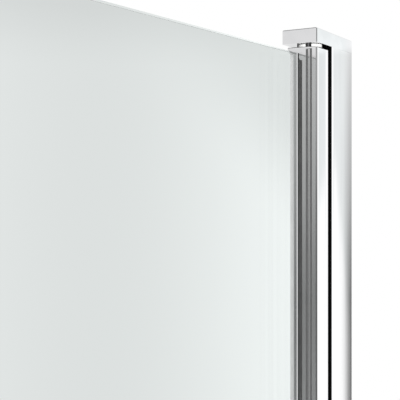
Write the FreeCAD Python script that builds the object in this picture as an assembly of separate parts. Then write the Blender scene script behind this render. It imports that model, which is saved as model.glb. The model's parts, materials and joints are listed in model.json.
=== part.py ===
import FreeCAD, Part
import math
import os

# Pivot shower door, closed: a frameless pane on a turning stile between two wall posts.
# Millimetres. +X points to the hinge wall, +Y into the shower, +Z up.
# The origin lies on the tray, midway between the walls, in the middle of the glass.

# The whole door
overall_width = 800.0
overall_height = 1900.0
profile_depth = 32.0
hinge_post_width = 59.25
hinge_gap = 10.9
stile_width = 26.85
strike_post_width = 44.0
cap_height = 12.65
running_gap = 3.2

# Clearances
wall_gap = 1.7
fit_clearance = 0.05
slide_clearance = 0.3
loose_clearance = 0.15
end_clearance = 0.3
closing_gap = 1.2
sweep_clearance = 0.8
cut_overrun = 1.0

# Glass and what bonds it to the stile
glass_thickness = 6.0
glass_back_inset = 0.4
glass_end_inset = 2.65
glass_hinge_inset = 2.0
glass_edge_radius = 0.25
bond_thickness = 3.2
bond_edge_inset = 2.4
carrier_thickness = 3.2
carrier_edge_inset = 0.5
carrier_nose_radius = 1.5
carrier_stile_radius = 0.1
key_setback = 5.8
key_neck_width = 2.0
key_head_width = 4.0
key_head_thickness = 1.4

# Turning stile and its strips
stile_wall = 1.6
stile_arris = 0.8
stile_crown_span = 3.6
stile_crown_drop = 0.12
stile_crown_radius = 40.0
stile_lip_span = 5.0
stile_lip_rise = 0.2
stile_lip_radius = 60.0
stile_gap_radius = 0.2
stile_back_radius = 0.2
bead_setback = 7.2
bead_groove_width = 5.6
bead_groove_depth = 2.6
bead_base_recess = 0.9
bead_crest_width = 1.9
bead_crest_recess = 0.1
bead_crest_radius = 0.3
bead_cover = 0.8
bead_stem_width = 1.6
bead_stem_length = 2.2
gasket_setback = 15.5
gasket_slot_width = 4.2
gasket_slot_depth = 3.4
gasket_rim_width = 0.8
gasket_rim_depth = 0.25
gasket_recess = 0.7
gasket_radius = 0.6
end_cap_height = 5.4
end_cap_plate = 2.4
end_cap_overlap = 1.4
end_cap_bevel = 0.5
end_cap_fall = 1.25
tongue_length = 6.4
tongue_width = 2.9
tongue_recess = 0.3
tongue_radius = 2.5
plug_length = 18.0
plug_wall = 0.65

# Pivots
pin_radius = 2.5
pin_hold = 9.0
pin_reach = 12.0
pin_chamfer = 0.5
pin_running_clearance = 0.05
bush_radius = 3.8
bush_flange_radius = 5.4
bush_flange_height = 1.2
bush_length = 14.0
clip_radius = 10.2
clip_offset = 1.6
clip_turn = 22.0
clip_relief = 0.35
clip_collar_radius = 5.0
thrust_clearance = 0.1

# Caps over the posts
cap_overhang = 0.25
cap_arris = 0.65
spigot_depth = 8.0

# Wall posts and channels
post_wall = 1.6
post_web = 1.8
post_corner_radius = 0.4
post_crown_span = 6.0
post_crown_radius = 95.0
groove_width = 2.4
groove_depth = 3.6
groove_boss_wall = 1.4
port_setback = 14.0
port_radius = 3.4
port_offset = 2.6
channel_port_gap = 4.0
channel_wall = 1.6
channel_base = 1.8
wall_hole_radius = 2.75
wall_hole_end = 110.0
wall_hole_inner_spacing = 560.0

# Screws
screw_radius = 1.9
screw_length = 22.0
screw_head_radius = 3.6
screw_head_height = 2.1
fixing_setback = 14.0
fixing_end = 200.0
fixing_radius = 1.9
fixing_length = 9.0
fixing_head_radius = 3.6
fixing_head_height = 2.2
recess_length = 4.2
recess_width = 0.9
recess_depth = 1.2
cover_radius = 6.0
cover_height = 3.6
cover_wall = 1.2
cover_edge_radius = 1.0

# Black seal in the hinge gap
seal_thickness = 2.5
seal_edge_inset = 0.3
seal_edge_radius = 0.8
dart_setback = 8.0
dart_neck_width = 1.4
fin_root = 1.8
fin_tip = 0.8

# Magnetic strips, drip seal and threshold
magnet_width = 6.4
magnet_thickness = 3.2
strip_wall = 0.9
strip_radius = 0.6
edge_seal_leg = 12.0
drip_leg = 12.0
drip_wall = 1.0
drip_leg_radius = 0.3
drip_fin = 1.2
drip_lean = 5.0
threshold_height = 8.0
threshold_lip = 3.0
threshold_inset = 1.0
threshold_front_run = 8.0
threshold_back_run = 10.0
threshold_wall = 1.4
threshold_radius = 2.5
threshold_lip_radius = 1.0
threshold_drip_gap = 1.0
end_plate = 1.2
end_plug_length = 15.0

# Handle
handle_height = 1000.0
handle_edge_distance = 65.0
handle_hole_spacing = 200.0
handle_bar_length = 250.0
handle_bar_width = 16.0
handle_bar_thickness = 12.0
handle_bar_radius = 1.6
handle_finger_gap = 32.0
handle_post_radius = 7.5
handle_washer_thickness = 1.0
handle_sleeve_wall = 1.2
stud_radius = 3.0
stud_bite = 8.0

# Places worked out from the sizes
wall_x = overall_width / 2
hinge_post_x = wall_x - hinge_post_width
stile_wall_x = hinge_post_x - hinge_gap
stile_end_x = stile_wall_x - stile_width
glass_front_y = -glass_thickness / 2
glass_back_y = glass_thickness / 2
back_y = glass_back_y + glass_back_inset
front_y = back_y - profile_depth
stile_back_y = glass_front_y - bond_thickness - carrier_thickness
pivot_x = (stile_end_x + stile_wall_x) / 2
pivot_y = stile_back_y - stile_wall - loose_clearance - plug_wall - bush_radius
bead_y = front_y + bead_setback
gasket_y = front_y + gasket_setback
key_x = stile_wall_x - key_setback
cap_bottom_z = overall_height - cap_height
block_top_z = cap_height
stile_top_z = cap_bottom_z - running_gap
stile_bottom_z = block_top_z + running_gap
middle_z = overall_height / 2
body_z = (stile_bottom_z + end_cap_height, stile_top_z - end_cap_height)
bead_inset = end_cap_fall + bead_cover
bead_z = (stile_bottom_z + bead_inset, stile_top_z - bead_inset)
post_z = (block_top_z, cap_bottom_z)
glass_z = (stile_bottom_z + glass_end_inset, stile_top_z - glass_end_inset)
glass_hinge_x = stile_wall_x - glass_hinge_inset
strike_post_x = strike_post_width - wall_x
strike_groove_y = 0.0
strike_z = (0.0, cap_bottom_z)
strip_half = magnet_width / 2 + strip_wall + fit_clearance
holder_depth = magnet_thickness + 2 * fit_clearance + 2 * strip_wall
holder_x = strike_post_x + holder_depth
nose_x = holder_x + closing_gap
glass_free_x = nose_x + holder_depth
edge_seal_end_x = glass_free_x + edge_seal_leg
edge_magnet_x = nose_x + strip_wall + fit_clearance
strike_magnet_x = strike_post_x + strip_wall + fit_clearance
strike_strip_z = (threshold_height + end_clearance, cap_bottom_z)
seal_groove_ys = [front_y + dart_setback, back_y - dart_setback]
threshold_x = (strike_post_x + end_clearance, stile_end_x - cap_overhang - end_clearance)
threshold_y = (front_y + threshold_inset, back_y - threshold_inset)
block_corner = (stile_end_x - cap_overhang - pivot_x, front_y - cap_overhang - pivot_y)
fin_end_x = pivot_x - math.hypot(*block_corner) - sweep_clearance
handle_x = glass_free_x + handle_edge_distance
handle_stud_zs = [handle_height + side * handle_hole_spacing / 2 for side in (-1, 1)]
handle_bar_z = (handle_height - handle_bar_length / 2, handle_height + handle_bar_length / 2)
wall_hole_outer_spacing = post_z[1] - post_z[0] - 2 * wall_hole_end
wall_hole_spacings = (wall_hole_outer_spacing, wall_hole_inner_spacing)
wall_hole_zs = [middle_z + side * gap / 2 for gap in wall_hole_spacings for side in (-1, 1)]
fixing_zs = [fixing_end, middle_z, overall_height - fixing_end]


def spot(x, y, z):
    return FreeCAD.Vector(x, y, z)


def around(centre, half):
    return (centre - half, centre + half)


def box(x, y, z):
    return Part.makeBox(x[1] - x[0], y[1] - y[0], z[1] - z[0], spot(x[0], y[0], z[0]))


def rod(radius, start, end):
    reach = end - start
    return Part.makeCylinder(radius, reach.Length, start, reach)


def cone(start_radius, end_radius, start, end):
    reach = end - start
    return Part.makeCone(start_radius, end_radius, reach.Length, start, reach)


def upright_rod(radius, x, y, z):
    return rod(radius, spot(x, y, z[0]), spot(x, y, z[1]))


def whole(shape):
    clean = shape.removeSplitter()
    return clean.Solids[0] if len(clean.Solids) == 1 else clean


def group(shapes):
    return Part.makeCompound([solid for shape in shapes for solid in shape.Solids])


def to_foot(shape):
    return shape.mirror(spot(0, 0, middle_z), spot(0, 0, 1))


def to_strike_side(shape):
    return shape.mirror(spot(0, 0, 0), spot(1, 0, 0))


def rounded_face(corners, place):
    # Each corner is (across, along, radius); a tangent arc of that radius replaces the corner
    edges = []
    ends = []
    for index, (across, along, radius) in enumerate(corners):
        corner = place(across, along)
        before = (place(*corners[index - 1][:2]) - corner).normalize()
        after = (place(*corners[(index + 1) % len(corners)][:2]) - corner).normalize()
        if radius == 0:
            ends.append((corner, corner))
            continue
        half = before.getAngle(after) / 2
        middle = (before + after).normalize()
        run = radius / math.tan(half)
        bulge = corner + middle * (radius / math.sin(half) - radius)
        arc_ends = (corner + before * run, corner + after * run)
        edges.append(Part.Arc(arc_ends[0], bulge, arc_ends[1]).toShape())
        ends.append(arc_ends)
    for index, (start, _) in enumerate(ends):
        edges.append(Part.makeLine(ends[index - 1][1], start))
    return Part.Face(Part.Wire(Part.__sortEdges__(edges)))


def upright_prism(corners, z):
    face = rounded_face(corners, lambda x, y: spot(x, y, z[0]))
    return face.extrude(spot(0, 0, z[1] - z[0]))


def lengthwise_prism(corners, x):
    face = rounded_face(corners, lambda y, z: spot(x[0], y, z))
    return face.extrude(spot(x[1] - x[0], 0, 0))


def is_upright(edge):
    first, last = edge.Vertexes[0].Point, edge.Vertexes[-1].Point
    return abs(first.x - last.x) + abs(first.y - last.y) < fit_clearance


def round_edges(shape, radius, wanted):
    return shape.makeFillet(radius, [edge for edge in shape.Edges if wanted(edge)])


def bevel_edges(shape, size, wanted):
    return shape.makeChamfer(size, [edge for edge in shape.Edges if wanted(edge)])


def bevel_rims(shape, size):
    return bevel_edges(shape, size, lambda edge: len(edge.Vertexes) == 1)


def cross_recess(x, y, top_z):
    z = (top_z - recess_depth, top_z + cut_overrun)
    long_way = box(around(x, recess_length / 2), around(y, recess_width / 2), z)
    short_way = box(around(x, recess_width / 2), around(y, recess_length / 2), z)
    return long_way.fuse(short_way)


# Stile: the section that the extrusion and its end caps share
def bead_groove(z):
    floor_x = stile_end_x + bead_groove_depth
    mouth = box((stile_end_x - cut_overrun, floor_x), around(bead_y, bead_groove_width / 2), z)
    stem_x = (stile_end_x, floor_x + bead_stem_length + fit_clearance)
    stem = box(stem_x, around(bead_y, bead_stem_width / 2 + fit_clearance), z)
    return mouth.fuse(stem)


def gasket_slot(z):
    # The rim on the side of the glass is bevelled
    low, high = around(gasket_y, gasket_slot_width / 2)
    mouth_x = stile_end_x - cut_overrun
    floor_x = stile_end_x + gasket_slot_depth
    return upright_prism(
        [
            (mouth_x, low, 0),
            (floor_x, low, 0),
            (floor_x, high, 0),
            (stile_end_x + gasket_rim_depth, high, 0),
            (stile_end_x, high + gasket_rim_width, 0),
            (mouth_x, high + gasket_rim_width, 0),
        ],
        z,
    )


def carrier_key(ease, z):
    shoulder_y = stile_back_y - stile_wall - loose_clearance
    neck = box(around(key_x, key_neck_width / 2 + ease), (shoulder_y, stile_back_y), z)
    head_y = (shoulder_y - key_head_thickness - ease, shoulder_y + ease)
    head = box(around(key_x, key_head_width / 2 + ease), head_y, z)
    return neck.fuse(head)


def stile_hollow(ease, z):
    deepest = max(bead_groove_depth + bead_stem_length, gasket_slot_depth)
    hollow_x = (stile_end_x + deepest + stile_wall + ease, stile_wall_x - stile_wall - ease)
    hollow = box(hollow_x, (front_y + stile_wall + ease, stile_back_y - stile_wall - ease), z)
    key_half = key_head_width / 2 + loose_clearance + stile_wall + ease
    key_depth = stile_wall + key_head_thickness + 2 * loose_clearance
    key_low_y = stile_back_y - key_depth - stile_wall - ease
    return hollow.cut(box((key_x - key_half, stile_wall_x), (key_low_y, stile_back_y), z))


def stile_block(high_y, high_radius, z):
    # The front is flat, falls away a little at the near corner and rises to a lip at the gap
    return upright_prism(
        [
            (stile_end_x, front_y + stile_crown_drop + stile_arris, 0),
            (stile_end_x + stile_arris, front_y + stile_crown_drop, 0),
            (stile_end_x + stile_crown_span, front_y, stile_crown_radius),
            (stile_wall_x - stile_lip_span, front_y, stile_lip_radius),
            (stile_wall_x, front_y - stile_lip_rise, stile_gap_radius),
            (stile_wall_x, high_y, high_radius),
            (stile_end_x, high_y, high_radius),
        ],
        z,
    )


def pivot_stile():
    block = stile_block(stile_back_y, stile_back_radius, body_z)
    cuts = [bead_groove(body_z), gasket_slot(body_z), stile_hollow(0, body_z)]
    cuts.append(carrier_key(loose_clearance, body_z))
    return whole(block.cut(cuts))


def stile_bead():
    # A strip low in its groove, with a crest along the middle that comes up almost to the face
    floor_x = stile_end_x + bead_groove_depth
    base_x = stile_end_x + bead_base_recess
    crest_x = stile_end_x + bead_crest_recess
    base_y = around(bead_y, bead_groove_width / 2 - fit_clearance)
    crest_y = around(bead_y, bead_crest_width / 2)
    z = (bead_z[0] + end_clearance, bead_z[1] - end_clearance)
    strip = upright_prism(
        [
            (crest_x, crest_y[0], bead_crest_radius),
            (base_x, crest_y[0], 0),
            (base_x, base_y[0], 0),
            (floor_x, base_y[0], 0),
            (floor_x, base_y[1], 0),
            (base_x, base_y[1], 0),
            (base_x, crest_y[1], 0),
            (crest_x, crest_y[1], bead_crest_radius),
        ],
        z,
    )
    stem = box((floor_x, floor_x + bead_stem_length), around(bead_y, bead_stem_width / 2), z)
    return whole(strip.fuse(stem))


def cap_tongue(ease):
    # The leaf of the end cap that hangs into the front side of the gasket slot
    x = (stile_end_x + tongue_recess - ease, stile_end_x + gasket_slot_depth)
    front = gasket_y - gasket_slot_width / 2 + fit_clearance - ease
    back = front + tongue_width + 2 * ease
    low_z = body_z[1] - tongue_length - ease
    corners = [
        (front, low_z, 0),
        (back, low_z, tongue_radius),
        (back, body_z[1], 0),
        (front, body_z[1], 0),
    ]
    return lengthwise_prism(corners, x)


def stile_gasket():
    x = (stile_end_x + gasket_recess, stile_end_x + gasket_slot_depth)
    y = around(gasket_y, gasket_slot_width / 2 - fit_clearance)
    corners = [
        (x[0], y[0], gasket_radius),
        (x[1], y[0], 0),
        (x[1], y[1], 0),
        (x[0], y[1], gasket_radius),
    ]
    room = cap_tongue(fit_clearance)
    return whole(upright_prism(corners, body_z).cut([room, to_foot(room)]))


def glass_carrier():
    rail_x = stile_end_x + carrier_edge_inset
    end_x = stile_wall_x - glass_hinge_inset
    high_y = stile_back_y + carrier_thickness
    rail = upright_prism(
        [
            (rail_x, stile_back_y, carrier_stile_radius),
            (end_x, stile_back_y, 0),
            (end_x, high_y, 0),
            (rail_x, high_y, carrier_nose_radius),
        ],
        body_z,
    )
    return whole(rail.fuse(carrier_key(0, body_z)))


def glass_bond():
    x = (stile_end_x + bond_edge_inset, glass_hinge_x - bond_edge_inset)
    return box(x, (glass_front_y - bond_thickness, glass_front_y), body_z)


def end_cap_wedge():
    # Cuts the bevel along the top of the end face
    low = (stile_end_x - cut_overrun, stile_top_z - end_cap_bevel - cut_overrun, 0)
    high = (stile_end_x + end_cap_bevel + cut_overrun, stile_top_z + cut_overrun, 0)
    outer = (low[0], high[1], 0)
    face = rounded_face([low, high, outer], lambda x, z: spot(x, front_y - cut_overrun, z))
    return face.extrude(spot(0, profile_depth + cut_overrun, 0))


def end_cap_slope():
    # Cuts the top so that it falls from the pivot to the front
    low_y = front_y - cut_overrun
    low_z = stile_top_z - end_cap_fall * (pivot_y - low_y) / (pivot_y - front_y)
    high_z = stile_top_z + cut_overrun
    corners = [(pivot_y, stile_top_z, 0), (low_y, low_z, 0), (low_y, high_z, 0), (pivot_y, high_z, 0)]
    return lengthwise_prism(corners, (stile_end_x - cut_overrun, stile_wall_x + cut_overrun))


def stile_top_cap():
    z = (body_z[1], stile_top_z)
    block = stile_block(glass_front_y - fit_clearance, stile_back_radius, z)
    plate_x = (stile_end_x, glass_hinge_x)
    plate_y = (glass_front_y - end_cap_overlap, glass_front_y + end_cap_overlap)
    plate = box(plate_x, plate_y, (stile_top_z - end_cap_plate, stile_top_z))
    hollow_z = (body_z[1] - plug_length, body_z[1])
    cap = block.fuse([plate, stile_hollow(loose_clearance, hollow_z), cap_tongue(0)])
    bush_z = (hollow_z[0] - cut_overrun, stile_top_z)
    bush_hole = upright_rod(bush_radius + fit_clearance, pivot_x, pivot_y, bush_z)
    flange_z = (stile_top_z - bush_flange_height, stile_top_z + cut_overrun)
    flange_hole = upright_rod(bush_flange_radius + fit_clearance, pivot_x, pivot_y, flange_z)
    groove = bead_groove((body_z[1] - cut_overrun, bead_z[1]))
    return whole(cap.cut([bush_hole, flange_hole, groove, end_cap_wedge(), end_cap_slope()]))


# Pivots
def top_pivot_bush():
    low_z = stile_top_z - bush_length
    tube = upright_rod(bush_radius, pivot_x, pivot_y, (low_z, stile_top_z))
    flange_z = (stile_top_z - bush_flange_height, stile_top_z)
    flange = upright_rod(bush_flange_radius, pivot_x, pivot_y, flange_z)
    bore_z = (low_z - cut_overrun, stile_top_z + cut_overrun)
    bore = upright_rod(pin_radius + pin_running_clearance, pivot_x, pivot_y, bore_z)
    return whole(tube.fuse(flange).cut(bore))


def top_pivot_pin():
    z = (stile_top_z - pin_reach, cap_bottom_z + pin_hold)
    return bevel_rims(upright_rod(pin_radius, pivot_x, pivot_y, z), pin_chamfer)


def top_spacer_clip():
    z = (stile_top_z + end_clearance, cap_bottom_z)
    hole_z = (z[0] - cut_overrun, z[1] + cut_overrun)
    hole_radius = pin_radius + fit_clearance
    hole = upright_rod(hole_radius, pivot_x, pivot_y, hole_z)
    mouth_x = (pivot_x - clip_radius - clip_offset - cut_overrun, pivot_x)
    mouth = box(mouth_x, around(pivot_y, hole_radius), hole_z)
    mouth.rotate(spot(pivot_x, pivot_y, 0), spot(0, 0, 1), clip_turn)
    disc_z = (z[0], z[1] - clip_relief)
    disc = upright_rod(clip_radius, pivot_x, pivot_y - clip_offset, disc_z)
    collar = upright_rod(clip_collar_radius, pivot_x, pivot_y, z)
    return whole(disc.fuse(collar).cut([hole, mouth]))


def bottom_thrust_washer():
    z = (block_top_z, stile_bottom_z - thrust_clearance)
    hole_z = (z[0] - cut_overrun, z[1] + cut_overrun)
    hole = upright_rod(pin_radius + fit_clearance, pivot_x, pivot_y, hole_z)
    return whole(upright_rod(clip_radius, pivot_x, pivot_y, z).cut(hole))


# Caps over the posts
def port_places(post_x):
    port_x = post_x + port_setback
    inner = post_wall + port_offset
    return [(port_x, front_y + inner), (port_x, back_y - inner)]


def is_above_cap_bottom(edge):
    return edge.CenterOfMass.z > cap_bottom_z + fit_clearance


def cap_block(end_x, post_x):
    x = (end_x - cap_overhang, wall_x - wall_gap)
    y = (front_y - cap_overhang, back_y + cap_overhang)
    block = box(x, y, (cap_bottom_z, overall_height))
    block = bevel_edges(block, cap_arris, is_above_cap_bottom)
    port_gap = port_radius + slide_clearance
    (port_x, low_port_y), (_, high_port_y) = port_places(post_x)
    spigot_x = (post_x + groove_depth + groove_boss_wall + slide_clearance, port_x + port_radius)
    spigot_y = (low_port_y + port_gap, high_port_y - port_gap)
    spigot_z = (cap_bottom_z - spigot_depth, cap_bottom_z + cap_arris)
    block = block.fuse(box(spigot_x, spigot_y, spigot_z))
    holes = []
    for x_place, y_place in port_places(post_x):
        through = (cap_bottom_z - cut_overrun, overall_height + cut_overrun)
        holes.append(upright_rod(screw_radius + fit_clearance, x_place, y_place, through))
        sink_start = spot(x_place, y_place, overall_height - screw_head_height)
        sink_end = spot(x_place, y_place, overall_height)
        small, large = screw_radius + fit_clearance, screw_head_radius + fit_clearance
        holes.append(cone(small, large, sink_start, sink_end))
    return whole(block.cut(holes))


def top_pivot_cap():
    hole_z = (cap_bottom_z - cut_overrun, cap_bottom_z + pin_hold + fit_clearance)
    hole = upright_rod(pin_radius + fit_clearance, pivot_x, pivot_y, hole_z)
    return whole(cap_block(stile_end_x, hinge_post_x).cut(hole))


def cap_screws(post_x):
    screws = []
    for x, y in port_places(post_x):
        top = spot(x, y, overall_height)
        neck = spot(x, y, overall_height - screw_head_height)
        head = cone(screw_radius, screw_head_radius, neck, top)
        shank = rod(screw_radius, spot(x, y, overall_height - screw_length), neck)
        screw = head.fuse(shank).cut(cross_recess(x, y, overall_height))
        screws.append(whole(screw))
    return group(screws)


# Wall posts, drawn on the hinge side
def fall_away(from_x, to_x, low_y, radius, z):
    # An arc that leaves the flat front at one place and falls away from it as far as the other
    turns = [0, math.asin((to_x - from_x) / radius) / 2, math.asin((to_x - from_x) / radius)]
    places = [(from_x + radius * math.sin(t), low_y + radius - radius * math.cos(t)) for t in turns]
    return [spot(x, y, z) for x, y in places]


def post_prism(side_x, end_x, low_y, high_y, z):
    crown = fall_away(side_x + post_crown_span, side_x, low_y, post_crown_radius, z[0])
    far = [spot(end_x, low_y, z[0]), spot(end_x, high_y, z[0]), spot(side_x, high_y, z[0])]
    corners = [crown[0]] + far + [crown[-1]]
    edges = [Part.makeLine(start, end) for start, end in zip(corners, corners[1:])]
    edges.append(Part.Arc(*reversed(crown)).toShape())
    return Part.Face(Part.Wire(edges)).extrude(spot(0, 0, z[1] - z[0]))


def post_groove(post_x, y, z):
    return box((post_x - cut_overrun, post_x + groove_depth), around(y, groove_width / 2), z)


def fixing_hole(radius, z):
    x = wall_x - fixing_setback
    inner_y = back_y - fixing_length - cut_overrun
    return rod(radius, spot(x, inner_y, z), spot(x, back_y + cut_overrun, z))


def wall_post(post_x, groove_ys, z):
    end_x = wall_x - wall_gap
    skin = post_prism(post_x, end_x, front_y, back_y, z)
    skin = round_edges(
        skin,
        post_corner_radius,
        lambda edge: is_upright(edge) and abs(edge.Vertexes[0].Point.x - post_x) < fit_clearance,
    )
    hollow = post_prism(post_x + post_web, wall_x, front_y + post_wall, back_y - post_wall, z)
    kept = []
    for y in groove_ys:
        boss_x = (post_x, post_x + groove_depth + groove_boss_wall)
        kept.append(box(boss_x, around(y, groove_width / 2 + groove_boss_wall), z))
    for x, y in port_places(post_x):
        kept.append(upright_rod(port_radius, x, y, z))
    cuts = [hollow.cut(kept)]
    cuts += [post_groove(post_x, y, z) for y in groove_ys]
    cuts += [upright_rod(screw_radius + fit_clearance, x, y, z) for x, y in port_places(post_x)]
    cuts += [fixing_hole(fixing_radius + fit_clearance, height) for height in fixing_zs]
    return whole(skin.cut(cuts))


def wall_channel(post_x, z):
    back = back_y - post_wall - slide_clearance
    front = front_y + post_wall + slide_clearance
    tip_x = post_x + port_setback + port_radius + channel_port_gap
    outer = box((tip_x, wall_x), (front, back), z)
    hollow_x = (tip_x - cut_overrun, wall_x - channel_base)
    hollow = box(hollow_x, (front + channel_wall, back - channel_wall), z)
    cuts = [hollow] + [fixing_hole(fixing_radius + fit_clearance, height) for height in fixing_zs]
    middle_y = (front + back) / 2
    for height in wall_hole_zs:
        start = spot(wall_x - channel_base - cut_overrun, middle_y, height)
        cuts.append(rod(wall_hole_radius, start, spot(wall_x + cut_overrun, middle_y, height)))
    return whole(outer.cut(cuts))


def post_screws():
    x = wall_x - fixing_setback
    screws = []
    for z in fixing_zs:
        face = spot(x, back_y, z)
        shank = rod(fixing_radius, spot(x, back_y - fixing_length, z), face)
        head = rod(fixing_head_radius, face, spot(x, back_y + fixing_head_height, z))
        y = (back_y + fixing_head_height - recess_depth, back_y + fixing_head_height + cut_overrun)
        slot = box(around(x, recess_length / 2), y, around(z, recess_width / 2))
        cross = slot.fuse(box(around(x, recess_width / 2), y, around(z, recess_length / 2)))
        screws.append(whole(shank.fuse(head).cut(cross)))
    return group(screws)


def is_outer_rim(edge):
    return len(edge.Vertexes) == 1 and edge.CenterOfMass.y > back_y + fit_clearance


def screw_covers():
    x = wall_x - fixing_setback
    covers = []
    for z in fixing_zs:
        base = spot(x, back_y, z)
        cup = rod(cover_radius, base, spot(x, back_y + cover_height, z))
        cup = round_edges(cup, cover_edge_radius, is_outer_rim)
        inside = spot(x, back_y + cover_height - cover_wall, z)
        covers.append(whole(cup.cut(rod(cover_radius - cover_wall, base, inside))))
    return group(covers)


# Black seal in the hinge gap
def hinge_gap_seal():
    face_x = hinge_post_x - seal_thickness
    y = (front_y + seal_edge_inset, back_y - seal_edge_inset)
    strip = upright_prism(
        [
            (face_x, y[0], seal_edge_radius),
            (hinge_post_x, y[0], 0),
            (hinge_post_x, y[1], 0),
            (face_x, y[1], seal_edge_radius),
        ],
        post_z,
    )
    tip_x = glass_hinge_x + sweep_clearance
    root_x = face_x + seal_thickness / 2
    fin = upright_prism(
        [
            (root_x, -fin_root / 2, 0),
            (root_x, fin_root / 2, 0),
            (tip_x, fin_tip / 2, 0),
            (tip_x, -fin_tip / 2, 0),
        ],
        post_z,
    )
    pieces = [fin]
    for place_y in seal_groove_ys:
        tip = hinge_post_x + groove_depth - end_clearance
        barb_x = hinge_post_x + groove_depth / 2
        neck = box((hinge_post_x, barb_x), around(place_y, dart_neck_width / 2), post_z)
        barb_half = groove_width / 2 - fit_clearance
        barb = upright_prism(
            [
                (barb_x, place_y - barb_half, 0),
                (tip, place_y - dart_neck_width / 2, 0),
                (tip, place_y + dart_neck_width / 2, 0),
                (barb_x, place_y + barb_half, 0),
            ],
            post_z,
        )
        pieces += [neck, barb]
    return whole(strip.fuse(pieces))


# Glass
def is_along_rim(edge):
    return abs(edge.Vertexes[0].Point.y - edge.Vertexes[-1].Point.y) < fit_clearance


def glass_panel():
    pane = box((glass_free_x, glass_hinge_x), (glass_front_y, glass_back_y), glass_z)
    pane = round_edges(pane, glass_edge_radius, is_along_rim)
    holes = []
    for z in handle_stud_zs:
        start = spot(handle_x, glass_front_y - cut_overrun, z)
        end = spot(handle_x, glass_back_y + cut_overrun, z)
        holes.append(rod(stud_radius + handle_sleeve_wall + 2 * fit_clearance, start, end))
    return whole(pane.cut(holes))


# Magnetic strips at the free edge and at the strike post
def magnet_bar(low_x, z):
    x = (low_x, low_x + magnet_thickness)
    return box(x, around(0, magnet_width / 2), z)


def magnet_room(low_x, z):
    x = (low_x - fit_clearance, low_x + magnet_thickness + fit_clearance)
    return box(x, around(0, magnet_width / 2 + fit_clearance), z)


def edge_seal():
    leg_half = glass_thickness / 2 + fit_clearance + strip_wall
    half = max(leg_half, strip_half)
    body = upright_prism(
        [
            (nose_x, -half, strip_radius),
            (edge_seal_end_x, -half, 0),
            (edge_seal_end_x, half, 0),
            (nose_x, half, strip_radius),
        ],
        glass_z,
    )
    slot_x = (glass_free_x - fit_clearance, edge_seal_end_x + cut_overrun)
    slot = box(slot_x, around(0, glass_thickness / 2 + fit_clearance), glass_z)
    return whole(body.cut([slot, magnet_room(edge_magnet_x, glass_z)]))


def strike_magnet_holder():
    z = strike_strip_z
    body = upright_prism(
        [
            (strike_post_x, -strip_half, 0),
            (holder_x, -strip_half, strip_radius),
            (holder_x, strip_half, strip_radius),
            (strike_post_x, strip_half, 0),
        ],
        z,
    )
    dart_x = (strike_post_x - groove_depth + end_clearance, strike_post_x)
    dart = box(dart_x, around(strike_groove_y, groove_width / 2 - fit_clearance), z)
    return whole(body.fuse(dart).cut(magnet_room(strike_magnet_x, z)))


# Drip seal under the glass
def drip_seal():
    x = (edge_seal_end_x + end_clearance, stile_end_x - end_clearance)
    floor_z = glass_z[0] - fit_clearance
    web_z = floor_z - drip_wall
    top_z = glass_z[0] + drip_leg
    half = glass_thickness / 2 + fit_clearance
    outer = half + drip_wall
    clip = lengthwise_prism(
        [
            (-outer, web_z, 0),
            (outer, web_z, 0),
            (outer, top_z, drip_leg_radius),
            (half, top_z, drip_leg_radius),
            (half, floor_z, 0),
            (-half, floor_z, 0),
            (-half, top_z, drip_leg_radius),
            (-outer, top_z, drip_leg_radius),
        ],
        x,
    )
    tip_z = threshold_height + threshold_drip_gap
    root_z = web_z + drip_wall / 2
    fin_x = (x[0], fin_end_x)
    fins = []
    for root_y, lean in ((-outer, 0.0), (outer - drip_fin, drip_lean)):
        fins.append(
            lengthwise_prism(
                [
                    (root_y, root_z, 0),
                    (root_y + lean, tip_z, 0),
                    (root_y + lean + drip_fin / 2, tip_z, 0),
                    (root_y + drip_fin, root_z, 0),
                ],
                fin_x,
            )
        )
    return whole(clip.fuse(fins))


# Threshold on the tray
def threshold_solid(x):
    low_y, high_y = threshold_y
    return lengthwise_prism(
        [
            (low_y, 0, 0),
            (high_y, 0, 0),
            (high_y, threshold_lip, threshold_lip_radius),
            (high_y - threshold_back_run, threshold_height, threshold_radius),
            (low_y + threshold_front_run, threshold_height, threshold_radius),
            (low_y, threshold_lip, threshold_lip_radius),
        ],
        x,
    )


def threshold_hollow(ease, x):
    low_y, high_y = threshold_y
    y = (low_y + threshold_front_run + ease, high_y - threshold_back_run - ease)
    return box(x, y, (threshold_wall + ease, threshold_height - threshold_wall - ease))


def threshold_bar():
    x = (threshold_x[0] + end_plate, threshold_x[1] - end_plate)
    hollow_x = (x[0] - cut_overrun, x[1] + cut_overrun)
    return whole(threshold_solid(x).cut(threshold_hollow(0, hollow_x)))


def threshold_end_plugs():
    low_x, high_x = threshold_x
    plugs = []
    for plate_x, plug_x in (
        ((low_x, low_x + end_plate), (low_x, low_x + end_plate + end_plug_length)),
        ((high_x - end_plate, high_x), (high_x - end_plate - end_plug_length, high_x)),
    ):
        plug = threshold_hollow(loose_clearance, plug_x)
        plugs.append(whole(threshold_solid(plate_x).fuse(plug)))
    return group(plugs)


# Handle: two bars back to back through the glass; side is -1 outside and +1 inside
def handle_levels(side):
    face = side * glass_thickness / 2
    washer = face + side * handle_washer_thickness
    bar_near = face + side * handle_finger_gap
    bar_far = bar_near + side * handle_bar_thickness
    return face, washer, bar_near, bar_far


def handle_bar(side):
    _, _, near, far = handle_levels(side)
    width = around(handle_x, handle_bar_width / 2)
    bar = box(width, (min(near, far), max(near, far)), handle_bar_z)
    bar = round_edges(bar, handle_bar_radius, lambda edge: True)
    sockets = []
    for z in handle_stud_zs:
        mouth = spot(handle_x, near - side * cut_overrun, z)
        floor = spot(handle_x, near + side * (stud_bite + fit_clearance), z)
        sockets.append(rod(stud_radius + fit_clearance, mouth, floor))
    return whole(bar.cut(sockets))


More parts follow.
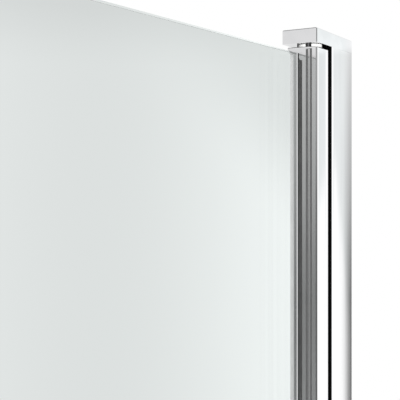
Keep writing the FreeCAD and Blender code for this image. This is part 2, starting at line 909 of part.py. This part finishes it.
def handle_posts(side):
    _, washer, near, _ = handle_levels(side)
    posts = []
    for z in handle_stud_zs:
        post = rod(handle_post_radius, spot(handle_x, washer, z), spot(handle_x, near, z))
        start = spot(handle_x, washer - side * cut_overrun, z)
        end = spot(handle_x, near + side * cut_overrun, z)
        posts.append(whole(post.cut(rod(stud_radius + fit_clearance, start, end))))
    return group(posts)


def handle_studs():
    reach = glass_thickness / 2 + handle_finger_gap + stud_bite
    return group(
        [
            rod(stud_radius, spot(handle_x, -reach, z), spot(handle_x, reach, z))
            for z in handle_stud_zs
        ]
    )


def handle_sleeves():
    sleeves = []
    for z in handle_stud_zs:
        start, end = spot(handle_x, glass_front_y, z), spot(handle_x, glass_back_y, z)
        tube = rod(stud_radius + handle_sleeve_wall + fit_clearance, start, end)
        sleeves.append(whole(tube.cut(rod(stud_radius + fit_clearance, start, end))))
    return group(sleeves)


def handle_washers():
    washers = []
    for side in (-1, 1):
        face, washer, _, _ = handle_levels(side)
        for z in handle_stud_zs:
            start, end = spot(handle_x, face, z), spot(handle_x, washer, z)
            disc = rod(handle_post_radius, start, end)
            washers.append(whole(disc.cut(rod(stud_radius + fit_clearance, start, end))))
    return group(washers)


def nodes():
    shapes = {
        "top_pivot_cap": top_pivot_cap(),
        "top_cap_screws": cap_screws(hinge_post_x),
        "top_pivot_pin": top_pivot_pin(),
        "top_spacer_clip": top_spacer_clip(),
        "top_pivot_bush": top_pivot_bush(),
        "pivot_stile": pivot_stile(),
        "stile_top_cap": stile_top_cap(),
        "stile_bead": stile_bead(),
        "stile_gasket": stile_gasket(),
        "glass_carrier": glass_carrier(),
        "glass_bond": glass_bond(),
        "glass_panel": glass_panel(),
        "hinge_gap_seal": hinge_gap_seal(),
        "hinge_post": wall_post(hinge_post_x, seal_groove_ys, post_z),
        "hinge_wall_channel": wall_channel(hinge_post_x, post_z),
        "hinge_post_screws": post_screws(),
        "hinge_screw_covers": screw_covers(),
        "bottom_thrust_washer": bottom_thrust_washer(),
        "edge_seal": edge_seal(),
        "edge_magnet": magnet_bar(edge_magnet_x, glass_z),
        "drip_seal": drip_seal(),
        "outer_handle_bar": handle_bar(-1),
        "inner_handle_bar": handle_bar(1),
        "outer_handle_posts": handle_posts(-1),
        "inner_handle_posts": handle_posts(1),
        "handle_studs": handle_studs(),
        "handle_sleeves": handle_sleeves(),
        "handle_washers": handle_washers(),
        "strike_magnet_holder": strike_magnet_holder(),
        "strike_magnet": magnet_bar(strike_magnet_x, strike_strip_z),
        "threshold_bar": threshold_bar(),
        "threshold_end_plugs": threshold_end_plugs(),
    }
    for top, foot in (
        ("top_pivot_cap", "bottom_pivot_block"),
        ("top_cap_screws", "bottom_block_screws"),
        ("top_pivot_pin", "bottom_pivot_pin"),
        ("top_pivot_bush", "bottom_pivot_bush"),
        ("stile_top_cap", "stile_bottom_cap"),
    ):
        shapes[foot] = to_foot(shapes[top])
    strike_twin_x = wall_x - strike_post_width
    for name, twin in (
        ("strike_post", wall_post(strike_twin_x, [strike_groove_y], strike_z)),
        ("strike_wall_channel", wall_channel(strike_twin_x, strike_z)),
        ("strike_post_screws", post_screws()),
        ("strike_screw_covers", screw_covers()),
        ("strike_top_cap", cap_block(strike_twin_x, strike_twin_x)),
        ("strike_cap_screws", cap_screws(strike_twin_x)),
    ):
        shapes[name] = to_strike_side(twin)
    return shapes


os.makedirs("parts", exist_ok=True)
for node_name, node_shape in nodes().items():
    node_shape.exportStep(f"parts/{node_name}.step")
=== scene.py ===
import json
import math

import bmesh
import bpy
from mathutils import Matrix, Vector


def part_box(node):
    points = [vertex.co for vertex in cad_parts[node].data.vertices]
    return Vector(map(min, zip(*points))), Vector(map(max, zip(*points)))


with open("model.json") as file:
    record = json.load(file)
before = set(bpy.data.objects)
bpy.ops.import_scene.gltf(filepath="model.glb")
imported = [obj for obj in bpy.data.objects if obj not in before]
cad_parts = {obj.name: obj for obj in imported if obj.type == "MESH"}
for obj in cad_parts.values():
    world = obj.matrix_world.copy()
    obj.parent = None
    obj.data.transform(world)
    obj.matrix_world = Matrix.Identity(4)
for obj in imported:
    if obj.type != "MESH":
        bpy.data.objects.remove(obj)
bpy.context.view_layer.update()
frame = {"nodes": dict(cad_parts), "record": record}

# Looks of the closed pivot shower door: metres, +X to the hinge wall, +Y into the shower, +Z up

# Camera: level, close in front of the pane near its top, with the lens shifted down
camera_place = Vector((-0.1328, -0.1972, 1.8186))
camera_turn = -56.44
level_tilt = 90
frame_pixels = 400
focal_pixels = 530.7
horizon_pixel = 121.7
sensor_width = 36.0

# Room: how bright the studio is; turns are degrees from +X towards +Y, heights are degrees up
# A sector is its middle turn, the half width of its full part and the half width where it ends
half_turn = 180.0
no_tint = (1.0, 1.0, 1.0)
background_light = 1.0
room_light = {
    -180: 0.66, -158: 0.86, -135: 0.6, -95: 0.74, -75: 0.9, -50: 0.72, 24: 0.79, 26: 1.05, 28: 1.03,
    33: 0.88, 45: 0.78, 105: 0.8, 128: 0.6, 142: 0.66, 170: 0.86, 180: 0.66,
}
sky_light = 1.05
sky_rise = (25, 55)
front_light = 1.12
front_sector = (-14, 10.9, 12.2)
column_sector = (-18.6, 2.9, 3.9)
column_turn = -19.4
column_light = {6.9: 0.88, 7.6: 0.98, 8.1: 0.98, 9: 0.945}
column_tint = (0.99, 1.018, 1.02)
column_foot = (-6.0, 0.0)
column_slopes = (-3.6, 11.0)
far_wall_sector = (0, 17.65, 18.6)
far_wall_light = {
    -18: 0.11, -13: 0.25, -8: 0.4, -3: 0.52, 6.9: 0.74, 7.8: 1.0, 15: 1.0, 18: 0.8, 24: 0.8, 28: 1.0,
}
behind_sector = (62, 40, 44)
behind_low = {24: 0.995, 27: 0.928, 32: 0.865, 39: 0.79, 46: 0.772, 54: 0.8, 90: 0.86}
behind_high = {24: 0.82, 27: 0.786, 31: 0.785, 40: 0.769}
behind_turn = 25.0
behind_rise = (-11.5, 4.0)
behind_slope = -1.1
behind_fade = {6: 1.0, 8: 0.976, 10: 0.94, 12: 0.905}
behind_elsewhere = 0.86
top_sector = (68, 20, 30)
top_light = {50: 0.8, 56: 0.8, 62: 0.22}
end_sector = (157.5, 10, 18)
end_low = {-26: 0.219, -22.5: 0.202, -18: 0.187, -13: 0.249, -8: 0.336, 4: 0.484, 7: 0.502}
end_low_tint = (1.035, 0.995, 1.0)
end_high = {14: 0.77, 35: 0.4, 70: 0.8}
end_high_tint = (1.008, 1.0, 1.002)
end_turn = 158.5
end_rise = (6.75, 6.95)
end_slope = 0.17
dark_sector = (-111, 7, 16)
dark_light = {-18: 0.05, -8: 0.1, -2: 0.23, 4: 0.31, 7: 0.32, 8.2: 0.25, 40: 0.1, 70: 0.8}

# A ray that no surface has mirrored has a mirror count below this
mirror_count_limit = 0.5

# Soft lamp behind and above the camera, which shiny surfaces do not mirror
lamp_back = 0.5
lamp_rise = 0.15
lamp_size = 0.7
lamp_power = 12.0

# Floor: a pale disc that fades out round its edge
floor_radius = 2.9
floor_corners = 96
floor_drop = 0.0006
floor_fade = 1.7
floor_roughness = 0.6

# Grain: worn patches and fine lines on metal, fine spots and larger clouds on plastic
no_stretch = (1, 1, 1)
wear_limits = (0.35, 0.65)
metal_bump_depth = 0.00002
spot_detail = 5.0
cloud_detail = 3.0
cloud_size_in_spots = 25
plastic_bump_depth = 0.00005

# Foil on the crest of the trim strip
foil_depth = 0.0005
foil_polish = 0.12

# Special finishes: light that enters nylon, gloss of rubber, clearness of plastic and glass
nylon_glow = 0.15
nylon_glow_depth = 0.001
rubber_gloss = 0.03
pvc_clearness = 0.85
pvc_index = 1.45
glass_index = 1.1
glass_density = 12.0

# Sockets of a node that mixes two colours
mix_share, mix_first, mix_second = 0, 6, 7
mixed_colour = 2


# Nodes: helpers that make and join them
def set_inputs(tree, node, inputs):
    for socket, value in inputs.items():
        if isinstance(value, bpy.types.NodeSocket):
            tree.links.new(value, node.inputs[socket])
        else:
            node.inputs[socket].default_value = value


def add_node(tree, kind, inputs=None, **settings):
    node = tree.nodes.new(kind)
    for name, value in settings.items():
        setattr(node, name, value)
    set_inputs(tree, node, inputs or {})
    return node


def math_node(tree, operation, *values):
    inputs = dict(enumerate(values))
    return add_node(tree, "ShaderNodeMath", inputs, operation=operation).outputs[0]


def soft_step(tree, value, low, high):
    inputs = {"Value": value, "From Min": low, "From Max": high}
    step = add_node(tree, "ShaderNodeMapRange", inputs, interpolation_type="SMOOTHSTEP")
    return step.outputs[0]


def spread(tree, value, low, high):
    inputs = {"Value": value, "To Min": low, "To Max": high}
    return add_node(tree, "ShaderNodeMapRange", inputs).outputs[0]


def blend_colours(tree, share, first, second, way="MIX"):
    inputs = {mix_share: share, mix_first: first, mix_second: second}
    mix = add_node(tree, "ShaderNodeMix", inputs, data_type="RGBA", blend_type=way)
    return mix.outputs[mixed_colour]


def colour(red, green, blue):
    return (red, green, blue, 1.0)


def grey(level):
    return colour(level, level, level)


# Studio
def make_camera():
    data = bpy.data.cameras.new("camera")
    data.sensor_width = sensor_width
    data.lens = sensor_width * focal_pixels / frame_pixels
    data.shift_y = (horizon_pixel - frame_pixels / 2) / frame_pixels
    camera = bpy.data.objects.new("camera", data)
    camera.location = camera_place
    camera.rotation_euler = (math.radians(level_tilt), 0, math.radians(camera_turn))
    bpy.context.scene.collection.objects.link(camera)
    bpy.context.scene.camera = camera


def ramp(tree, degrees, stops, tint=no_tint, curve="LINEAR"):
    # A tone that follows an angle along its stops, on straight lines or on another curve
    first, last = min(stops), max(stops)
    share = add_node(tree, "ShaderNodeMapRange", {"Value": degrees, "From Min": first, "From Max": last})
    tones = add_node(tree, "ShaderNodeValToRGB", {"Fac": share.outputs[0]})
    tones.color_ramp.interpolation = curve
    points = tones.color_ramp.elements
    while len(points) < len(stops):
        points.new(position=1.0)
    for point, (angle, tone) in zip(points, stops.items()):
        point.position = (angle - first) / (last - first)
        point.color = colour(*(tone * part for part in tint))
    return tones.outputs["Color"]


def near_turn(tree, turn, centre, full, none):
    # One within the full angle of that compass direction, nought beyond the other angle
    offset = math_node(tree, "SUBTRACT", turn, centre)
    wrapped = math_node(tree, "WRAP", offset, half_turn, -half_turn)
    return soft_step(tree, math_node(tree, "ABSOLUTE", wrapped), none, full)


def front_column(tree, turn, height):
    # A grey stand in front of the posts, whose white foot reaches highest at its own turn
    offset = math_node(tree, "SUBTRACT", turn, column_turn)
    left, right = (math_node(tree, "MULTIPLY", offset, slope) for slope in column_slopes)
    raised = math_node(tree, "ADD", height, math_node(tree, "MAXIMUM", left, right))
    return soft_step(tree, raised, *column_foot)


def leaning_step(tree, turn, height, middle, slope, rise):
    # A step by height, whose line leans as the turn departs from the middle
    lean = math_node(tree, "MULTIPLY", math_node(tree, "SUBTRACT", turn, middle), slope)
    return soft_step(tree, math_node(tree, "ADD", height, lean), *rise)


def behind_glass(tree, turn, height):
    # Lighter low down beside the stile, darker at the top
    rise = leaning_step(tree, turn, height, behind_turn, behind_slope, behind_rise)
    low, high = (ramp(tree, turn, stops, curve="B_SPLINE") for stops in (behind_low, behind_high))
    light = blend_colours(tree, rise, low, high)
    return blend_colours(tree, 1.0, light, ramp(tree, height, behind_fade), way="MULTIPLY")


def end_screen(tree, turn, height):
    # Dim screen beside the end of the stile, with a light upper part
    rise = leaning_step(tree, turn, height, end_turn, end_slope, end_rise)
    low = ramp(tree, height, end_low, end_low_tint)
    high = ramp(tree, height, end_high, end_high_tint)
    return blend_colours(tree, rise, low, high)


def mirrored_room(tree, turn, height):
    # What polished surfaces mirror: a grey room under a white sky, with lighter and darker screens
    sky = soft_step(tree, height, *sky_rise)
    light = blend_colours(tree, sky, ramp(tree, turn, room_light), grey(sky_light))
    light = blend_colours(tree, near_turn(tree, turn, *front_sector), light, grey(front_light))
    column = near_turn(tree, turn, *column_sector)
    column = math_node(tree, "MULTIPLY", column, front_column(tree, turn, height))
    light = blend_colours(tree, column, light, ramp(tree, height, column_light, column_tint))
    for sector, tone in (
        (end_sector, end_screen(tree, turn, height)),
        (dark_sector, ramp(tree, height, dark_light)),
        (far_wall_sector, ramp(tree, height, far_wall_light)),
        (top_sector, ramp(tree, height, top_light)),
    ):
        light = blend_colours(tree, near_turn(tree, turn, *sector), light, tone)
    return light


def room_through_glass(tree, turn, height):
    share = near_turn(tree, turn, *behind_sector)
    return blend_colours(tree, share, grey(behind_elsewhere), behind_glass(tree, turn, height))


def make_room():
    world = bpy.data.worlds.new("studio")
    world.use_nodes = True
    bpy.context.scene.world = world
    tree = world.node_tree
    tree.nodes.clear()
    direction = add_node(tree, "ShaderNodeTexCoord").outputs["Generated"]
    along = add_node(tree, "ShaderNodeSeparateXYZ", {0: direction}).outputs
    turn = math_node(tree, "DEGREES", math_node(tree, "ARCTAN2", along["Y"], along["X"]))
    height = math_node(tree, "DEGREES", math_node(tree, "ARCSINE", along["Z"]))
    path = add_node(tree, "ShaderNodeLightPath").outputs
    unmirrored = math_node(tree, "LESS_THAN", path["Glossy Depth"], mirror_count_limit)
    straight = math_node(tree, "MULTIPLY", path["Is Transmission Ray"], unmirrored)
    mirrored = mirrored_room(tree, turn, height)
    light = blend_colours(tree, straight, mirrored, room_through_glass(tree, turn, height))
    shown = blend_colours(tree, path["Is Camera Ray"], light, grey(background_light))
    background = add_node(tree, "ShaderNodeBackground", {"Color": shown})
    add_node(tree, "ShaderNodeOutputWorld", {"Surface": background.outputs[0]})


def make_lamp():
    data = bpy.data.lights.new("soft_lamp", "AREA")
    data.shape = "DISK"
    data.size = lamp_size
    data.energy = lamp_power
    lamp = bpy.data.objects.new("soft_lamp", data)
    turn = math.radians(camera_turn)
    forward = Vector((-math.sin(turn), math.cos(turn), 0))
    lamp.location = camera_place - forward * lamp_back + Vector((0, 0, lamp_rise))
    lamp.rotation_euler = (math.radians(level_tilt), 0, turn)
    lamp.visible_glossy = False
    lamp.visible_transmission = False
    bpy.context.scene.collection.objects.link(lamp)


def make_floor():
    mesh = bpy.data.meshes.new("floor")
    disc = bmesh.new()
    bmesh.ops.create_circle(disc, cap_ends=True, segments=floor_corners, radius=floor_radius)
    disc.to_mesh(mesh)
    disc.free()
    floor = bpy.data.objects.new("floor", mesh)
    floor.location.z = -floor_drop
    bpy.context.scene.collection.objects.link(floor)
    mesh.materials.append(pale_floor())


# Materials: each has its own section, and its grain follows the place on the object in metres
def new_material(name):
    material = bpy.data.materials.new(name)
    material.use_nodes = True
    place = add_node(material.node_tree, "ShaderNodeTexCoord").outputs["Object"]
    return material, material.node_tree, place


def shader_of(material):
    return material.node_tree.nodes["Principled BSDF"]


def set_shader(material, inputs):
    set_inputs(material.node_tree, shader_of(material), inputs)


def noise(tree, place, size, detail, stretch=no_stretch):
    # Grain whose spots are about that size in metres, drawn out along each axis by its stretch
    scale = tuple(1 / (size * along) for along in stretch)
    spot = add_node(tree, "ShaderNodeMapping", {"Vector": place, "Scale": scale}).outputs[0]
    return add_node(tree, "ShaderNodeTexNoise", {"Vector": spot, "Scale": 1.0, "Detail": detail}).outputs[0]


def bump(tree, height, depth, strength):
    inputs = {"Height": height, "Distance": depth, "Strength": strength}
    return add_node(tree, "ShaderNodeBump", inputs).outputs[0]


def metal(name, dark, light, smooth, rough, grain, wear, bump_strength):
    material, tree, place = new_material(name)
    lines = noise(tree, place, **grain)
    patches = noise(tree, place, **wear)
    tone = soft_step(tree, patches, *wear_limits)
    both = math_node(tree, "MULTIPLY", lines, patches)
    set_shader(material, {
        "Base Color": blend_colours(tree, tone, dark, light),
        "Roughness": spread(tree, both, smooth, rough),
        "Metallic": 1.0,
        "Normal": bump(tree, lines, metal_bump_depth, bump_strength),
    })
    return material


def plastic(name, dark, light, smooth, rough, spot_size, bump_strength):
    material, tree, place = new_material(name)
    spots = noise(tree, place, spot_size, spot_detail)
    clouds = noise(tree, place, spot_size * cloud_size_in_spots, cloud_detail)
    set_shader(material, {
        "Base Color": blend_colours(tree, clouds, dark, light),
        "Roughness": spread(tree, spots, smooth, rough),
        "Normal": bump(tree, spots, plastic_bump_depth, bump_strength),
    })
    return material


def pale_floor():
    material, tree, place = new_material("pale_floor")
    grain = noise(tree, place, size=0.025, detail=6.0)
    distance = add_node(tree, "ShaderNodeVectorMath", {0: place}, operation="LENGTH").outputs["Value"]
    set_shader(material, {
        "Base Color": blend_colours(tree, grain, grey(0.88), colour(0.92, 0.92, 0.915)),
        "Roughness": floor_roughness,
        "Alpha": soft_step(tree, distance, floor_radius, floor_radius - floor_fade),
    })
    return material


def profile_metal(name, dark, light):
    # Extruded metal with draw lines along its height
    return metal(
        name,
        dark,
        light,
        smooth=0.02,
        rough=0.1,
        grain=dict(size=0.0006, detail=4.0, stretch=(1, 1, 400)),
        wear=dict(size=0.03, detail=4.0, stretch=(1, 1, 8)),
        bump_strength=0.02,
    )


def polished_profile():
    return profile_metal("polished_profile", colour(0.86, 0.865, 0.87), colour(0.93, 0.935, 0.94))


# Painted shade: a darker copy of the polished profile, with the same gloss, that makes the glass carrier
# look darker than the stile beside it
def shaded_profile():
    return profile_metal("shaded_profile", colour(0.68, 0.685, 0.69), colour(0.74, 0.745, 0.75))


def chrome():
    return metal(
        "chrome",
        dark=colour(0.86, 0.87, 0.88),
        light=colour(0.92, 0.925, 0.935),
        smooth=0.015,
        rough=0.09,
        grain=dict(size=0.002, detail=5.0),
        wear=dict(size=0.02, detail=4.0),
        bump_strength=0.01,
    )


def mill_aluminium():
    return metal(
        "mill_aluminium",
        dark=colour(0.68, 0.685, 0.69),
        light=colour(0.78, 0.785, 0.79),
        smooth=0.28,
        rough=0.5,
        grain=dict(size=0.0005, detail=5.0, stretch=(1, 1, 300)),
        wear=dict(size=0.03, detail=3.0),
        bump_strength=0.12,
    )


def plain_steel(name, dark, light, smooth, rough, bump_strength):
    # Small turned pieces with fine grain and small worn patches
    grain = dict(size=0.0004, detail=5.0)
    wear = dict(size=0.003, detail=4.0)
    return metal(name, dark, light, smooth, rough, grain, wear, bump_strength)


def steel_fixings():
    return plain_steel(
        "steel_fixings",
        dark=grey(0.5),
        light=colour(0.72, 0.72, 0.71),
        smooth=0.16,
        rough=0.5,
        bump_strength=0.15,
    )


def dark_steel():
    return plain_steel(
        "dark_steel",
        dark=colour(0.34, 0.34, 0.345),
        light=colour(0.52, 0.52, 0.525),
        smooth=0.3,
        rough=0.6,
        bump_strength=0.2,
    )


def plated_plastic():
    return metal(
        "plated_plastic",
        dark=colour(0.85, 0.86, 0.87),
        light=colour(0.92, 0.925, 0.93),
        smooth=0.02,
        rough=0.12,
        grain=dict(size=0.004, detail=3.0),
        wear=dict(size=0.02, detail=4.0),
        bump_strength=0.02,
    )


def trim_strip():
    # Dark strip whose crest is covered with bright foil
    material = plastic(
        "trim_strip",
        dark=grey(0.08),
        light=grey(0.118),
        smooth=0.35,
        rough=0.6,
        spot_size=0.0004,
        bump_strength=0.1,
    )
    tree = material.node_tree
    place = add_node(tree, "ShaderNodeTexCoord").outputs["Object"]
    across = add_node(tree, "ShaderNodeSeparateXYZ", {0: place}).outputs["X"]
    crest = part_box("stile_bead")[0][0]
    foil = soft_step(tree, across, crest + foil_depth, crest + foil_depth / 2)
    strip_inputs = shader_of(material).inputs
    strip_colour = strip_inputs["Base Color"].links[0].from_socket
    strip_roughness = strip_inputs["Roughness"].links[0].from_socket
    polish = spread(tree, foil, 1.0, foil_polish)
    set_shader(material, {
        "Base Color": blend_colours(tree, foil, strip_colour, colour(0.75, 0.75, 0.755)),
        "Roughness": math_node(tree, "MULTIPLY", strip_roughness, polish),
        "Metallic": foil,
    })
    return material


def white_nylon():
    material = plastic(
        "white_nylon",
        dark=colour(0.84, 0.84, 0.82),
        light=colour(0.9, 0.9, 0.89),
        smooth=0.35,
        rough=0.55,
        spot_size=0.0004,
        bump_strength=0.1,
    )
    glow_depths = (nylon_glow_depth, nylon_glow_depth, nylon_glow_depth)
    set_shader(material, {"Subsurface Weight": nylon_glow, "Subsurface Radius": glow_depths})
    return material


def grey_plastic():
    return plastic(
        "grey_plastic",
        dark=colour(0.7, 0.705, 0.71),
        light=colour(0.8, 0.805, 0.81),
        smooth=0.22,
        rough=0.42,
        spot_size=0.0005,
        bump_strength=0.08,
    )


def dark_gasket():
    return plastic(
        "dark_gasket",
        dark=grey(0.034),
        light=grey(0.055),
        smooth=0.5,
        rough=0.75,
        spot_size=0.0003,
        bump_strength=0.2,
    )


def black_rubber():
    material = plastic(
        "black_rubber",
        dark=grey(0.0006),
        light=grey(0.002),
        smooth=0.6,
        rough=0.85,
        spot_size=0.0003,
        bump_strength=0.2,
    )
    set_shader(material, {"Specular IOR Level": rubber_gloss})
    return material


def bonding_strip():
    return plastic(
        "bonding_strip",
        dark=colour(0.37, 0.372, 0.372),
        light=colour(0.45, 0.452, 0.452),
        smooth=0.4,
        rough=0.65,
        spot_size=0.0006,
        bump_strength=0.15,
    )


def magnet_strip():
    return plastic(
        "magnet_strip",
        dark=colour(0.035, 0.032, 0.03),
        light=colour(0.07, 0.064, 0.06),
        smooth=0.5,
        rough=0.7,
        spot_size=0.0004,
        bump_strength=0.15,
    )


def clear_pvc():
    material = plastic(
        "clear_pvc",
        dark=colour(0.88, 0.9, 0.9),
        light=colour(0.95, 0.965, 0.965),
        smooth=0.08,
        rough=0.2,
        spot_size=0.002,
        bump_strength=0.1,
    )
    set_shader(material, {"Transmission Weight": pvc_clearness, "IOR": pvc_index})
    return material


def clear_glass():
    # Clear pane with a faint green tint, faint clouds in the tint and a thin film on its polish
    material, tree, place = new_material("clear_glass")
    dark, light = colour(0.947, 0.966, 0.962), colour(0.962, 0.981, 0.977)
    clouds = noise(tree, place, size=0.25, detail=2.0)
    film = noise(tree, place, size=0.05, detail=4.0)
    set_shader(material, {
        "Base Color": blend_colours(tree, clouds, dark, light),
        "Roughness": spread(tree, film, low=0.0, high=0.012),
        "Transmission Weight": 1.0,
        "IOR": glass_index,
    })
    inside = {"Color": colour(0.7, 0.92, 0.86), "Density": glass_density}
    volume = add_node(tree, "ShaderNodeVolumeAbsorption", inside)
    set_inputs(tree, tree.nodes["Material Output"], {"Volume": volume.outputs[0]})
    return material


def dress_nodes():
    finishes = {
        "polished_profile": polished_profile(),
        "chrome": chrome(),
        "mill_aluminium": mill_aluminium(),
        "steel_fixings": steel_fixings(),
        "dark_steel": dark_steel(),
        "white_nylon": white_nylon(),
        "plated_plastic": plated_plastic(),
        "trim_strip": trim_strip(),
        "grey_plastic": grey_plastic(),
        "dark_gasket": dark_gasket(),
        "black_rubber": black_rubber(),
        "bonding_strip": bonding_strip(),
        "clear_glass": clear_glass(),
        "clear_pvc": clear_pvc(),
        "magnet_strip": magnet_strip(),
    }
    # Painted shade: the glass carrier gets the darker copy of the polished profile in place of its own
    # finish
    painted_shade_finishes = {"glass_carrier": shaded_profile()}
    for row in frame["record"]["subparts"]:
        piece = frame["nodes"][row["node"]]
        piece.data.materials.clear()
        piece.data.materials.append(painted_shade_finishes.get(row["node"], finishes[row["material_slot"]]))


make_camera()
make_room()
make_lamp()
make_floor()
dress_nodes()
bpy.context.scene.view_settings.view_transform = "Standard"
